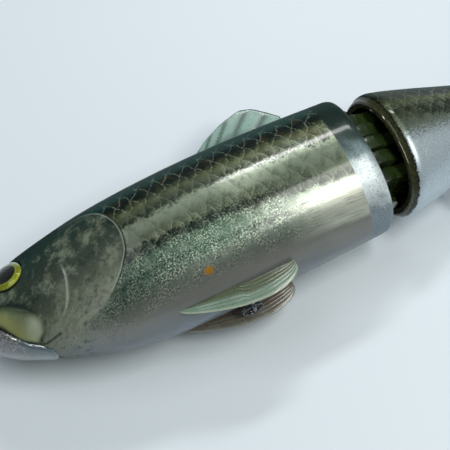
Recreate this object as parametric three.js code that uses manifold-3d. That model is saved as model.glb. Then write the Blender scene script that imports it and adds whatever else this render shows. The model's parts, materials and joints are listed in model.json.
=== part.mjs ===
// A two-section jointed swimbait, lying on its right side.
// Millimetres. +X runs from nose to tail, +Y to the back (dorsal side), +Z to the left flank, which is up.
// Both sections are drawn with the hinge axis as their origin, so x = 0 is the hinge.

import * as THREE from 'three';
import { mergeVertices } from 'three/addons/utils/BufferGeometryUtils.js';
import Module from 'manifold-3d';

const wasm = await Module();
wasm.setup();

// ---------------------------------------------------------------- driving dimensions

const NOSE_X = -140;            // nose tip, ahead of the hinge
const NOSE_ROUND = 13;          // length over which the snout rounds off
const SKIRT_X = -1;             // rear edge of the front section
const SKIRT_ROUND = 3;          // length of the rounded rear edge
const RIM_X = 6.5;              // front edge of the rear section
const TAIL_BASE_X = 80;         // rear end of the rear section
const REST_BEND = THREE.MathUtils.degToRad(10.3);   // the rear section droops to the table
const WALL = 2.4;               // shell thickness
const SEAM = 0.3;               // gap between the left and right shells
const GAP = 0.3;                // gap between fitted pieces
const ROUNDNESS = 2.2;          // exponent of the cross-section: 2 is an ellipse, more is squarer
const SIDES = 28;               // corners of one cross-section
const CAVITY_FRONT_X = -118;    // the snout ahead of this is solid
const CAVITY_REAR_X = 68;       // the tail stalk behind this is solid

// Cross-sections: x, height of the back, depth of the belly, half width.
const FRONT_SECTIONS = [
  [-140, 9.4, 7.2, 9.0],
  [-130, 14.7, 11.4, 13.2],
  [-120, 18.1, 16.0, 15.9],
  [-108, 20.8, 20.9, 18.3],
  [-94, 23.2, 24.8, 20.3],
  [-76, 24.9, 26.8, 21.4],
  [-54, 25.8, 26.9, 21.7],
  [-28, 25.4, 26.2, 21.6],
  [-1, 24.0, 25.4, 21.0],
];
const REAR_SECTIONS = [
  [6.5, 19.9, 21.8, 17.4],
  [8.5, 21.2, 23.0, 19.4],
  [11, 21.5, 23.3, 19.9],
  [25, 19.0, 20.6, 17.2],
  [41, 15.6, 17.0, 13.4],
  [60, 11.9, 12.8, 8.9],
  [80, 8.8, 9.2, 5.0],
];

// Knuckle comb
const PLATES = 7;               // plates 1, 3, 5 and 7 belong to the front section
const COMB_TOP = 18.6;
const COMB_BOTTOM = -19.6;
const PLATE_GAP = 0.6;
const KNUCKLE_R = 14.0;         // largest knuckle radius, at mid height
const KNUCKLE_REACH = 20.6;     // height at which the knuckles would shrink to nothing
const PLATE_HALF_WIDTH = 0.86;  // width of a plate's straight part, as a share of its knuckle
const BULKHEAD_FRONT = [-20.5, -16.5];
const BULKHEAD_REAR = [16.5, 20.5];
const PIN_R = 1.5;
const PIN_HOLE_R = 1.8;
const PLUG_LENGTH = 1.6;

// Eyes
const EYE_X = -122.2;
const EYE_ANGLE = THREE.MathUtils.degToRad(29);     // how far the eye looks up from square to the flank
const EYE_R = 5.4;
const EYE_FORWARD = 0.24;       // forward share of the direction that an eye looks in
const EYE_HIGH = 0.55;          // height of an eye, as a share of the back's height there
const EYE_WIDE = 0.86;          // distance from the middle, as a share of the half width there
const SOCKET_DEPTH = 2.2;
const IRIS_TOP = -1.0;          // upper face of the iris, from the eye's place
const LENS_BASE = -0.7;         // lower face of the lens

// Wire
const WIRE_R = 0.65;
const EYE_LOOP_R = 2.3;         // middle radius of a hook hanger's loop
const TIE_LOOP_R = 2.9;         // middle radius of the line tie's loop
const SPLIT_RING_R = 3.6;       // middle radius of a split ring
const RING_BAND = [0.4, 0.62];  // half sizes of a split ring's section, across and along its axis
const RING_DROP = 0.6;          // how far a ring's turning line lies below the middle of its loop
const TIE_Y = 0.6;              // height of the line tie
const TIE_OUT = 1.0;            // gap between the nose and the line tie's loop
const BELLY_RING_TILT = THREE.MathUtils.degToRad(90);   // it hangs towards the table
const REAR_RING_TILT = THREE.MathUtils.degToRad(78);    // it hangs free
const HANGER_SUNK = 0.4;        // how far a loop's middle line is sunk into the belly
const BELLY_HANGER_X = -55.5;
const REAR_HANGER_X = 34;

// Fins
const FIN_T = 1.4;
const PELVIC_Z = 9.8;           // distance of each pelvic fin from the middle
const TAIL_T = 1.6;

// ---------------------------------------------------------------- materials

const paint = (color, roughness, metalness) =>
  new THREE.MeshStandardMaterial({ color, roughness, metalness });
const MATERIALS = {
  shell: () => paint(0x6f7a72, 0.28, 0.45),
  resin: () => paint(0x3a4828, 0.25, 0.0),
  jaw: () => paint(0xa9bcc6, 0.25, 0.0),
  fin: () => paint(0x8fb0a0, 0.3, 0.0),
  iris: () => paint(0xa3ad20, 0.35, 0.2),
  lens: () => paint(0xd8e0e0, 0.05, 0.0),
  steel: () => paint(0xb9bcc0, 0.2, 1.0),
  lead: () => paint(0x5c5f63, 0.6, 0.8),
};

// ---------------------------------------------------------------- solids

/** Merges a closed three.js geometry into a solid that can be joined and cut. */
function solid(geometry) {
  const bare = geometry.index ? geometry.toNonIndexed() : geometry.clone();
  bare.deleteAttribute('normal');
  bare.deleteAttribute('uv');
  const merged = mergeVertices(bare, 1e-4);
  const mesh = new wasm.Mesh({
    numProp: 3,
    vertProperties: new Float32Array(merged.attributes.position.array),
    triVerts: new Uint32Array(merged.index.array),
  });
  return new wasm.Manifold(mesh);
}

/** Turns a solid back into a three.js geometry. */
function geometryOf(body) {
  const mesh = body.getMesh();
  const geometry = new THREE.BufferGeometry();
  geometry.setAttribute('position', new THREE.BufferAttribute(mesh.vertProperties, 3));
  geometry.setIndex(new THREE.BufferAttribute(mesh.triVerts, 1));
  geometry.computeVertexNormals();
  return geometry;
}

/** A named mesh from a solid or a three.js geometry. */
function piece(name, shape, material) {
  const geometry = shape.isBufferGeometry ? shape : geometryOf(shape);
  const mesh = new THREE.Mesh(geometry, MATERIALS[material]());
  mesh.name = name;
  return mesh;
}

/** A box between two corners. */
function box(low, high) {
  const geometry = new THREE.BoxGeometry(high[0] - low[0], high[1] - low[1], high[2] - low[2]);
  geometry.translate((low[0] + high[0]) / 2, (low[1] + high[1]) / 2, (low[2] + high[2]) / 2);
  return solid(geometry);
}

/** A cylinder from one point to another. */
function rod(from, to, radius, sides = 16) {
  const start = new THREE.Vector3(...from);
  const end = new THREE.Vector3(...to);
  const along = end.clone().sub(start);
  const geometry = new THREE.CylinderGeometry(radius, radius, along.length(), sides);
  const turn = new THREE.Quaternion().setFromUnitVectors(new THREE.Vector3(0, 1, 0), along.normalize());
  geometry.applyQuaternion(turn);
  geometry.translate(...start.add(end).multiplyScalar(0.5).toArray());
  return solid(geometry);
}

/** A closed ring about the Y axis, with a chamfered section and flat faces. */
function flatRing(radius, halfRadial, halfAxial, sides) {
  const cut = Math.min(halfRadial, halfAxial) * 0.58;
  const corners = [
    [halfRadial, -halfAxial + cut], [halfRadial, halfAxial - cut],
    [halfRadial - cut, halfAxial], [-halfRadial + cut, halfAxial],
    [-halfRadial, halfAxial - cut], [-halfRadial, -halfAxial + cut],
    [-halfRadial + cut, -halfAxial], [halfRadial - cut, -halfAxial],
    [halfRadial, -halfAxial + cut],
  ];
  const profile = corners.map(([r, y]) => new THREE.Vector2(radius + r, y));
  return new THREE.LatheGeometry(profile, sides);
}

/** A plate cut to an outline in the XY plane, between two heights in z. */
function plate(points, low, high, holes = []) {
  const shape = new THREE.Shape(points.map(([x, y]) => new THREE.Vector2(x, y)));
  const geometry = new THREE.ExtrudeGeometry(shape, { depth: high - low, bevelEnabled: false });
  geometry.translate(0, 0, low);
  return holes.reduce((body, hole) => body.subtract(hole), solid(geometry));
}

// ---------------------------------------------------------------- body form

/** Smooth curve through a table's rows: returns the row's values at x. */
function sectionAt(table, x) {
  const last = table.length - 1;
  let i = 0;
  while (i < last - 1 && x > table[i + 1][0]) i += 1;
  const [a, b] = [table[i], table[i + 1]];
  const before = table[Math.max(i - 1, 0)];
  const after = table[Math.min(i + 2, last)];
  const step = b[0] - a[0];
  const t = THREE.MathUtils.clamp((x - a[0]) / step, 0, 1);
  return [1, 2, 3].map((k) => {
    const slopeA = (b[k] - before[k]) / (b[0] - before[0]) * step;
    const slopeB = (after[k] - a[k]) / (after[0] - a[0]) * step;
    const t2 = t * t;
    const t3 = t2 * t;
    return (2 * t3 - 3 * t2 + 1) * a[k] + (t3 - 2 * t2 + t) * slopeA
      + (3 * t2 - 2 * t3) * b[k] + (t3 - t2) * slopeB;
  });
}

/** Point on a cross-section: angle 0 is the back, 90 degrees the left flank. */
function sectionPoint([back, belly, width], angle) {
  const bend = (value) => Math.sign(value) * Math.abs(value) ** (2 / ROUNDNESS);
  const c = Math.cos(angle);
  const height = c > 0 ? back : belly;
  return [bend(c) * height, bend(Math.sin(angle)) * width];
}

/** Closed form through cross-sections given as [x, [back, belly, width]]. */
function loft(rings) {
  const positions = [];
  const index = [];
  rings.forEach(([x, dims]) => {
    for (let k = 0; k < SIDES; k += 1) {
      const [y, z] = sectionPoint(dims, (k / SIDES) * Math.PI * 2);
      positions.push(x, y, z);
    }
  });
  for (let r = 0; r < rings.length - 1; r += 1) {
    for (let k = 0; k < SIDES; k += 1) {
      const a = r * SIDES + k;
      const b = r * SIDES + (k + 1) % SIDES;
      index.push(a, b, a + SIDES, b, b + SIDES, a + SIDES);
    }
  }
  const capAt = (ring, forward) => {
    const centre = positions.length / 3;
    positions.push(rings[ring][0], 0, 0);
    for (let k = 0; k < SIDES; k += 1) {
      const a = ring * SIDES + k;
      const b = ring * SIDES + (k + 1) % SIDES;
      index.push(...(forward ? [centre, b, a] : [centre, a, b]));
    }
  };
  capAt(0, true);
  capAt(rings.length - 1, false);
  const geometry = new THREE.BufferGeometry();
  geometry.setAttribute('position', new THREE.Float32BufferAttribute(positions, 3));
  geometry.setIndex(index);
  return solid(geometry);
}

/** Front section's outer form at x, with the snout and the rear edge rounded off. */
function frontDims(x) {
  const nose = THREE.MathUtils.clamp((x - NOSE_X) / NOSE_ROUND, 0.02, 1);
  const snout = Math.sqrt(1 - (1 - nose) ** 2);
  const edge = THREE.MathUtils.clamp((x - SKIRT_X + SKIRT_ROUND) / SKIRT_ROUND, 0, 1);
  const lip = 1.1 * (1 - Math.sqrt(1 - edge ** 2 * 0.98));
  return sectionAt(FRONT_SECTIONS, x).map((d) => d * snout - lip);
}

const rearDims = (x) => sectionAt(REAR_SECTIONS, x);

/** A form between two x values, grown or shrunk by an offset. */
function form(dimsAt, stations, offset = 0) {
  return loft(stations.map((x) => [x, dimsAt(x).map((d) => d + offset)]));
}

const FRONT_STATIONS = [
  -140, -139.2, -137.6, -135, -131, -127, -122, -115, -108, -98, -86, -72, -54, -36, -18, -4, -2.2, -1,
];
const REAR_STATIONS = [6.5, 7.4, 8.5, 11, 18, 25, 33, 41, 50, 60, 70, 80];
const FRONT_CAVITY_STATIONS = [CAVITY_FRONT_X, -108, -98, -86, -72, -54, -36, -18, -4];
const REAR_CAVITY_STATIONS = [8.5, 11, 18, 25, 33, 41, 50, 60, CAVITY_REAR_X];

/** The front section's hollow, shrunk further by an offset, and open at the rear. */
function frontCavity(offset) {
  const rings = FRONT_CAVITY_STATIONS.map((x) => [x, frontDims(x).map((d) => d - WALL - offset)]);
  const mouth = rings[rings.length - 1][1];
  return loft([...rings, [SKIRT_X + 5, mouth]]);
}

/** The rear section's hollow, shrunk further by an offset, and open at the front. */
function rearCavity(offset) {
  const rings = REAR_CAVITY_STATIONS.map((x) => [x, rearDims(x).map((d) => d - WALL - offset)]);
  const mouth = rearDims(RIM_X).map((d) => d - WALL * 0.6 - offset);
  return loft([[RIM_X - 5, mouth], [RIM_X, mouth], ...rings]);
}

/** Left or right half of a shell, side +1 or -1. */
function half(shell, side) {
  const far = 200;
  const near = SEAM / 2;
  return side > 0
    ? shell.intersect(box([-far, -far, near], [far, far, far]))
    : shell.intersect(box([-far, -far, -far], [far, far, -near]));
}

// ---------------------------------------------------------------- fins

const DORSAL_OUTLINE = [
  [-53, 22.4], [-52.5, 26.2], [-44.5, 31.2], [-39, 34.0], [-34.5, 35.8], [-28, 37.4], [-25.6, 37.0],
  [-22.9, 35.9], [-19.7, 33.1], [-17.1, 30.5], [-15.4, 28.6], [-16.4, 26.0], [-22.2, 22.4],
];
const PELVIC_OUTLINE = [
  [-79, -23.4], [-77, -22.2], [-58, -22.4], [-57, -24.9], [-38.2, -25.0], [-38.4, -28.0],
  [-41, -30.4], [-46, -32.0], [-51, -32.5], [-60, -31.6], [-70, -28.8], [-77, -25.8],
];
const ANAL_OUTLINE = [
  [46, -13.2], [45.4, -16.4], [49, -20.4], [52, -22.6], [54, -22.0], [57, -18.2], [62, -13.4], [61, -9.8],
];
const TAIL_OUTLINE = [
  [73, 4.6], [79, 5.0], [80.4, 8.6], [88, 13.0], [97, 19.0], [106, 24.0], [113.5, 26.4],
  [115.2, 25.6], [113.2, 21.0], [107.5, 12.0], [104.6, 4.0], [104.4, -3.0], [106.6, -11.0],
  [111.6, -20.0], [114.0, -25.0], [112.4, -26.0], [104, -23.0], [96, -18.4], [88, -12.8],
  [80.4, -8.8], [79, -5.0], [73, -4.6],
];

/** Outline grown by a margin about its middle, to cut the slot that a fin's root sits in. */
function grown(outline, margin) {
  const points = outline.map(([x, y]) => new THREE.Vector2(x, y));
  const clockwise = THREE.ShapeUtils.area(points) < 0;
  return points.map((p, i) => {
    const before = points[(i + points.length - 1) % points.length];
    const after = points[(i + 1) % points.length];
    const inward = p.clone().sub(before).normalize();
    const outward = after.clone().sub(p).normalize();
    const normal = new THREE.Vector2(inward.y + outward.y, -inward.x - outward.x).normalize();
    return p.clone().addScaledVector(normal, clockwise ? -margin : margin).toArray();
  });
}

/** A fin blade centred on z, and the slot that its root needs in the shells. */
function fin(outline, z, thickness) {
  return plate(outline, z - thickness / 2, z + thickness / 2);
}

function finSlot(outline, z, thickness) {
  return plate(grown(outline, GAP), z - thickness / 2 - GAP, z + thickness / 2 + GAP);
}

// ---------------------------------------------------------------- jaw, eyes and wire

// Side outline of the lower jaw: the mouth line slopes down and back to the chin.
const JAW_OUTLINE = [
  [-150, -0.4], [-136.6, -1.0], [-133.5, -2.6], [-130.4, -5.2], [-127.4, -8.8], [-123.9, -12.2],
  [-120.2, -14.6], [-118.2, -16.2], [-117.4, -30], [-150, -30],
];
const JAW_PROUD = 0.8;

function lowerJaw() {
  const chin = form(frontDims, [-139.2, -137.6, -135, -131, -127, -122, -116, -110], JAW_PROUD);
  return chin
    .intersect(plate(JAW_OUTLINE, -30, 30))
    .subtract(frontCavity(-GAP));
}

const jawPocket = () => plate(grown(JAW_OUTLINE, GAP), -30, 30);

/** Where an eye sits: its centre on the surface and the direction it looks in. */
function eyePlace(side) {
  const [back, , width] = frontDims(EYE_X);
  const look = new THREE.Vector3(-EYE_FORWARD, Math.sin(EYE_ANGLE), side * Math.cos(EYE_ANGLE)).normalize();
  const centre = new THREE.Vector3(EYE_X, back * EYE_HIGH, side * width * EYE_WIDE);
  return { centre, look };
}

/** A stack of turned shapes standing on an eye's place: profile is [radius, height] pairs. */
function turnedAtEye(profile, side, sides = 24) {
  const { centre, look } = eyePlace(side);
  const points = profile.map(([r, h]) => new THREE.Vector2(r, h));
  const geometry = new THREE.LatheGeometry(points, sides);
  geometry.applyQuaternion(new THREE.Quaternion().setFromUnitVectors(new THREE.Vector3(0, 1, 0), look));
  geometry.translate(...centre.toArray());
  return solid(geometry);
}

const eyeSocket = (side) => turnedAtEye(
  [[0, -SOCKET_DEPTH], [EYE_R + GAP, -SOCKET_DEPTH], [EYE_R + GAP, 6], [0, 6]], side);

const irisProfile = [
  [0, -SOCKET_DEPTH + GAP], [EYE_R, -SOCKET_DEPTH + GAP], [EYE_R, IRIS_TOP], [0, IRIS_TOP]];

const lensProfile = [
  [0, LENS_BASE], [EYE_R, LENS_BASE], [EYE_R, 0], [4.6, 0.75], [3.2, 1.3], [1.6, 1.65], [0, 1.75]];

/** Wire loop with its axis along X, a shank up through the belly wall and a head inside. */
function hookHanger(x, bellyY) {
  const loopY = bellyY - EYE_LOOP_R + HANGER_SUNK;
  const loop = flatRing(EYE_LOOP_R, WIRE_R, WIRE_R, 20);
  loop.rotateZ(Math.PI / 2);
  loop.translate(x, loopY, 0);
  const shank = rod([x, loopY + EYE_LOOP_R, 0], [x, bellyY + WALL + 1.2, 0], WIRE_R, 12);
  const head = rod([x, bellyY + WALL + 0.5, 0], [x, bellyY + WALL + 1.8, 0], 2.0, 12);
  return { body: solid(loop).add(shank).add(head), loopY };
}

/** Hole for a hanger's shank, below a slot that the loop is sunk into. */
function hangerHole(x, bellyY) {
  const along = WIRE_R + GAP;
  const across = EYE_LOOP_R + WIRE_R + GAP;
  const slot = box([x - along, bellyY - 4, -across], [x + along, bellyY + HANGER_SUNK + along, across]);
  return slot.add(rod([x, bellyY - 3, 0], [x, bellyY + WALL + 3, 0], along, 12));
}

/** Split ring through a hanger's loop, turned about X so that it hangs towards the table. */
function splitRing(name, x, hanger, tilt) {
  const ring = flatRing(SPLIT_RING_R, ...RING_BAND, 28);
  ring.rotateX(Math.PI / 2);
  ring.translate(0, -SPLIT_RING_R, 0);
  ring.rotateX(tilt);
  const mesh = piece(name, ring, 'steel');
  mesh.position.set(x, hanger.loopY - RING_DROP, 0);
  return mesh;
}

/** Wire loop at the nose with its shank through the solid snout and a head behind it. */
function lineTie() {
  const loop = flatRing(TIE_LOOP_R, WIRE_R, WIRE_R, 24);
  loop.rotateX(Math.PI / 2);
  loop.translate(NOSE_X - TIE_LOOP_R - TIE_OUT, TIE_Y, 0);
  const shank = rod([NOSE_X - TIE_OUT, TIE_Y, 0], [CAVITY_FRONT_X + 1.6, TIE_Y, 0], WIRE_R, 12);
  const head = rod([CAVITY_FRONT_X + 0.4, TIE_Y, 0], [CAVITY_FRONT_X + 1.9, TIE_Y, 0], 2.2, 12);
  return solid(loop).add(shank).add(head);
}

const tieHole = () => rod([NOSE_X - 3, TIE_Y, 0], [CAVITY_FRONT_X + 3, TIE_Y, 0], WIRE_R + GAP, 12);

// ---------------------------------------------------------------- joint

/** Middle height and thickness of each plate of the comb, from the top down. */
function combPlates() {
  const pitch = (COMB_TOP - COMB_BOTTOM + PLATE_GAP) / PLATES;
  return Array.from({ length: PLATES }, (_, i) => {
    const top = COMB_TOP - i * pitch;
    return { index: i, top, bottom: top - pitch + PLATE_GAP };
  });
}

/** One plate: a knuckle round the pin and a straight part back to its bulkhead. */
function knucklePlate({ top, bottom }, bulkheadX) {
  const far = Math.max(Math.abs(top), Math.abs(bottom));
  const radius = KNUCKLE_R * Math.sqrt(1 - (far / KNUCKLE_REACH) ** 2);
  const knuckle = rod([0, bottom, 0], [0, top, 0], radius, 32);
  const reach = radius * PLATE_HALF_WIDTH;
  const strap = bulkheadX < 0
    ? box([bulkheadX, bottom, -reach], [0, top, reach])
    : box([0, bottom, -reach], [bulkheadX, top, reach]);
  return knuckle.add(strap);
}

/** Bulkhead that fills the shell's hollow, with the comb plates of one section and the pin hole. */
function jointBlock(cavity, bulkhead, owned) {
  const slab = cavity.intersect(box([bulkhead[0], -40, -40], [bulkhead[1], 40, 40]));
  const anchor = (bulkhead[0] + bulkhead[1]) / 2;
  return combPlates()
    .filter(({ index }) => index % 2 === owned)
    .reduce((body, comb) => body.add(knucklePlate(comb, anchor)), slab)
    .subtract(rod([0, -40, 0], [0, 40, 0], PIN_HOLE_R, 20));
}

const hingePin = () => rod(
  [0, COMB_BOTTOM + PLUG_LENGTH + GAP, 0],
  [0, COMB_TOP - PLUG_LENGTH - GAP, 0],
  PIN_R, 16,
);

// ---------------------------------------------------------------- sections

/** A lead weight across the hollow, trimmed to the shells. */
function ballast(x, y, radius, cavity) {
  return rod([x, y, -22], [x, y, 22], radius, 20).intersect(cavity);
}

function buildFrontSection() {
  const group = new THREE.Group();
  const bellyY = -frontDims(BELLY_HANGER_X)[1];
  const hanger = hookHanger(BELLY_HANGER_X, bellyY);
  const outer = form(frontDims, FRONT_STATIONS);
  const shell = [
    frontCavity(0), jawPocket(), tieHole(), hangerHole(BELLY_HANGER_X, bellyY),
    finSlot(DORSAL_OUTLINE, 0, FIN_T), eyeSocket(1), eyeSocket(-1),
    finSlot(PELVIC_OUTLINE, PELVIC_Z, FIN_T), finSlot(PELVIC_OUTLINE, -PELVIC_Z, FIN_T),
  ].reduce((body, cut) => body.subtract(cut), outer);
  const inside = frontCavity(GAP);
  group.add(
    piece('front_shell_left', half(shell, 1), 'shell'),
    piece('front_shell_right', half(shell, -1), 'shell'),
    piece('lower_jaw', lowerJaw(), 'jaw'),
    piece('dorsal_fin', fin(DORSAL_OUTLINE, 0, FIN_T), 'fin'),
    piece('pelvic_fin_left', fin(PELVIC_OUTLINE, PELVIC_Z, FIN_T), 'fin'),
    piece('pelvic_fin_right', fin(PELVIC_OUTLINE, -PELVIC_Z, FIN_T), 'fin'),
    piece('line_tie', lineTie(), 'steel'),
    piece('belly_hook_hanger', hanger.body, 'steel'),
    splitRing('belly_split_ring', BELLY_HANGER_X, hanger, BELLY_RING_TILT),
    piece('front_joint_block', jointBlock(inside, BULKHEAD_FRONT, 0), 'resin'),
    piece('hinge_pin', hingePin(), 'steel'),
    piece('pin_plug_top', rod([0, COMB_TOP - PLUG_LENGTH, 0], [0, COMB_TOP, 0], PIN_R, 16), 'resin'),
    piece('pin_plug_bottom', rod([0, COMB_BOTTOM, 0], [0, COMB_BOTTOM + PLUG_LENGTH, 0], PIN_R, 16), 'resin'),
    piece('chest_ballast', ballast(-92, -13.5, 5.0, inside), 'lead'),
    piece('belly_ballast', ballast(-34, -15.0, 5.5, inside), 'lead'),
  );
  [['left', 1], ['right', -1]].forEach(([word, side]) => {
    group.add(
      piece(`eye_${word}`, turnedAtEye(irisProfile, side), 'iris'),
      piece(`eye_lens_${word}`, turnedAtEye(lensProfile, side), 'lens'),
    );
  });
  return group;
}

function buildRearSection() {
  const group = new THREE.Group();
  const bellyY = -rearDims(REAR_HANGER_X)[1];
  const hanger = hookHanger(REAR_HANGER_X, bellyY);
  const pinHole = rod([76, 0, -20], [76, 0, 20], 1.2 + GAP, 12);
  const shell = [
    rearCavity(0), hangerHole(REAR_HANGER_X, bellyY), finSlot(ANAL_OUTLINE, 0, FIN_T),
    finSlot(TAIL_OUTLINE, 0, TAIL_T), pinHole,
  ].reduce((body, cut) => body.subtract(cut), form(rearDims, REAR_STATIONS));
  const inside = rearCavity(GAP);
  const tailPin = rod([76, 0, -4.6], [76, 0, 4.6], 1.2, 12);
  const tail = fin(TAIL_OUTLINE, 0, TAIL_T).subtract(pinHole);
  group.add(
    piece('rear_shell_left', half(shell, 1), 'shell'),
    piece('rear_shell_right', half(shell, -1), 'shell'),
    piece('rear_joint_block', jointBlock(inside, BULKHEAD_REAR, 1), 'resin'),
    piece('rear_hook_hanger', hanger.body, 'steel'),
    splitRing('rear_split_ring', REAR_HANGER_X, hanger, REAR_RING_TILT),
    piece('rear_ballast', ballast(28, -9.5, 3.6, inside), 'lead'),
    piece('anal_fin', fin(ANAL_OUTLINE, 0, FIN_T), 'fin'),
    piece('tail_fin', tail, 'fin'),
    piece('tail_pin', tailPin, 'steel'),
  );
  group.rotation.y = REST_BEND;
  return group;
}

const swimbait = new THREE.Group();
swimbait.add(buildFrontSection(), buildRearSection());
swimbait.updateMatrixWorld(true);

// Stand the bait on the middle of its box's underside.
const reach = new THREE.Box3().setFromObject(swimbait, true);
const middle = reach.getCenter(new THREE.Vector3());
swimbait.position.set(-middle.x, -middle.y, -reach.min.z);
swimbait.updateMatrixWorld(true);

export default swimbait;
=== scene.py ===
"""A two-section jointed swimbait lying on its right side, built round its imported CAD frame."""

import json
import math

import bpy
import numpy as np
from mathutils import Matrix, Vector


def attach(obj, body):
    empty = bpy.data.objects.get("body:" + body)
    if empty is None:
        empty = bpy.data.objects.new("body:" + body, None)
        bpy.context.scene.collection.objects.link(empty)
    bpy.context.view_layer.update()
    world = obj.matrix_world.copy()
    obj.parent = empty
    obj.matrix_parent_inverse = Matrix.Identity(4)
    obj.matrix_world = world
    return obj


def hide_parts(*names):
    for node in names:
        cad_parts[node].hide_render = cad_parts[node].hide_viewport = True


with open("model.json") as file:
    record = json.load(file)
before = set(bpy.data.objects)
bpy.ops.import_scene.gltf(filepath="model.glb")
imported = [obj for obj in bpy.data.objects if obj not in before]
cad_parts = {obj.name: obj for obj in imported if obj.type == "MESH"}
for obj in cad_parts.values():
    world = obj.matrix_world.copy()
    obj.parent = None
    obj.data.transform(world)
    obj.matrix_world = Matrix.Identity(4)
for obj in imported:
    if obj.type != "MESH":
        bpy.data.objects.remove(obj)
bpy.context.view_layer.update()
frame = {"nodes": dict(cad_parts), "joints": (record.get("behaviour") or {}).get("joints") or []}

MM = 0.001
HINGE = Vector(next(j["pos_m"] for j in frame["joints"] if j["name"] == "body_hinge"))
REST_BEND = math.radians(10.3)      # the rear section droops to the floor at rest

# ---------------------------------------------------------------- body form, in mm from the hinge

NOSE_X, NOSE_ROUND = -140.0, 13.0
SKIRT_X, SKIRT_ROUND = -1.0, 3.0
RIM_X = 6.5
WALL = 2.4
ROUNDNESS = 2.2                     # exponent of the cross-section
REFERENCE_GIRTH = 76.0              # half girth that the painted pattern is laid out for
JAW_SINK = 1.5                      # how far the shell lies under the lower jaw piece

# x, height of the back, depth of the belly, half width
FRONT_SECTIONS = np.array([
    [-140, 9.4, 7.2, 9.0], [-130, 14.7, 11.4, 13.2], [-120, 18.1, 16.0, 15.9],
    [-108, 20.8, 20.9, 18.3], [-94, 23.2, 24.8, 20.3], [-76, 24.9, 26.8, 21.4],
    [-54, 25.8, 26.9, 21.7], [-28, 25.4, 26.2, 21.6], [-1, 24.0, 25.4, 21.0],
])
REAR_SECTIONS = np.array([
    [6.5, 19.9, 21.8, 17.4], [8.5, 21.2, 23.0, 19.4], [11, 21.5, 23.3, 19.9],
    [25, 19.0, 20.6, 17.2], [41, 15.6, 17.0, 13.4], [60, 11.9, 12.8, 8.9], [80, 8.8, 9.2, 5.0],
])

EYE_X, EYE_R = -122.2, 5.4
EYE_ANGLE = math.radians(29)
EYE_FORWARD, EYE_HIGH, EYE_WIDE = 0.24, 0.55, 0.86   # lean to the nose; shares of back and half width


def smooth(low, high, value):
    """0 below low, 1 above high, and a smooth step between."""
    t = np.clip((np.asarray(value, float) - low) / (high - low), 0, 1)
    return t * t * (3 - 2 * t)


def section_at(table, x):
    """Smooth curve through a table's rows: back, belly and half width at x."""
    last = len(table) - 1
    i = int(np.clip(np.searchsorted(table[:, 0], x) - 1, 0, last - 1))
    a, b = table[i], table[i + 1]
    before, after = table[max(i - 1, 0)], table[min(i + 2, last)]
    step = b[0] - a[0]
    t = min(max((x - a[0]) / step, 0), 1)
    slope_a = (b - before) / (b[0] - before[0]) * step
    slope_b = (after - a) / (after[0] - a[0]) * step
    curve = ((2 * t**3 - 3 * t**2 + 1) * a + (t**3 - 2 * t**2 + t) * slope_a
             + (3 * t**2 - 2 * t**3) * b + (t**3 - t**2) * slope_b)
    return curve[1:]


def front_dims(x):
    nose = min(max((x - NOSE_X) / NOSE_ROUND, 0.0004), 1)
    snout = math.sqrt(1 - (1 - nose) ** 2)
    edge = min(max((x - SKIRT_X + SKIRT_ROUND) / SKIRT_ROUND, 0), 1)
    lip = 1.1 * (1 - math.sqrt(1 - 0.98 * edge**2))
    return section_at(FRONT_SECTIONS, x) * snout - lip * snout


def rear_dims(x):
    return section_at(REAR_SECTIONS, x)


def section_point(dims, angle):
    """y and z on a cross-section: angle 0 is the back, 90 degrees the left flank."""
    c, s = np.cos(angle), np.sin(angle)
    back, belly, width = dims
    y = np.sign(c) * np.abs(c) ** (2 / ROUNDNESS) * np.where(c > 0, back, belly)
    z = np.sign(s) * np.abs(s) ** (2 / ROUNDNESS) * width
    return y, z


# Angles spaced evenly round a typical section, so that grid columns are even along the girth.
def even_angles(count):
    fine = np.linspace(0, math.pi, 1441)
    y, z = section_point((25.8, 26.9, 21.7), fine)
    run = np.concatenate([[0], np.cumsum(np.hypot(np.diff(y), np.diff(z)))])
    angles = np.interp(np.linspace(0, run[-1], count), run, fine)
    angles[0], angles[-1] = 0, math.pi
    return angles


# ---------------------------------------------------------------- mesh helpers

def place(points, rear):
    """Section coordinates in mm to the row frame in metres."""
    p = np.asarray(points, float).reshape(-1, 3)
    if rear:
        c, s = math.cos(REST_BEND), math.sin(REST_BEND)
        p = np.column_stack([p[:, 0] * c + p[:, 2] * s, p[:, 1], p[:, 2] * c - p[:, 0] * s])
    return p * MM + np.array(HINGE)


def make_mesh(name, points, faces, body, materials, rear=False, marks=None, sharp=35, face_slots=None):
    """A closed, smooth-shaded piece that rides on a body. marks are point attributes."""
    mesh = bpy.data.meshes.new(name)
    mesh.from_pydata(place(points, rear).tolist(), [], [list(map(int, f)) for f in faces])
    for material in materials:
        mesh.materials.append(material)
    for key, values in (marks or {}).items():
        values = np.asarray(values, np.float32)
        kind = "FLOAT_VECTOR" if values.ndim == 2 else "FLOAT"
        layer = mesh.attributes.new(key, kind, "POINT")
        layer.data.foreach_set("vector" if values.ndim == 2 else "value", values.ravel())
    if face_slots is not None:
        mesh.polygons.foreach_set("material_index", np.asarray(face_slots, np.int32))
    mesh.update()
    mesh.validate()
    obj = bpy.data.objects.new(name, mesh)
    bpy.context.scene.collection.objects.link(obj)
    mesh.shade_smooth()
    mesh.set_sharp_from_angle(angle=math.radians(sharp))
    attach(obj, body)
    return obj


def grid_faces(rows, columns, start=0, wrap=False, flip=False):
    """Quads of a rows x columns grid of points, optionally closed round its columns."""
    r = np.arange(rows - 1)[:, None]
    c = np.arange(columns if wrap else columns - 1)[None, :]
    n = (c + 1) % columns
    quads = np.stack([r * columns + c, r * columns + n, (r + 1) * columns + n, (r + 1) * columns + c], -1)
    quads = quads.reshape(-1, 4) + start
    return quads[:, ::-1] if flip else quads


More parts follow.
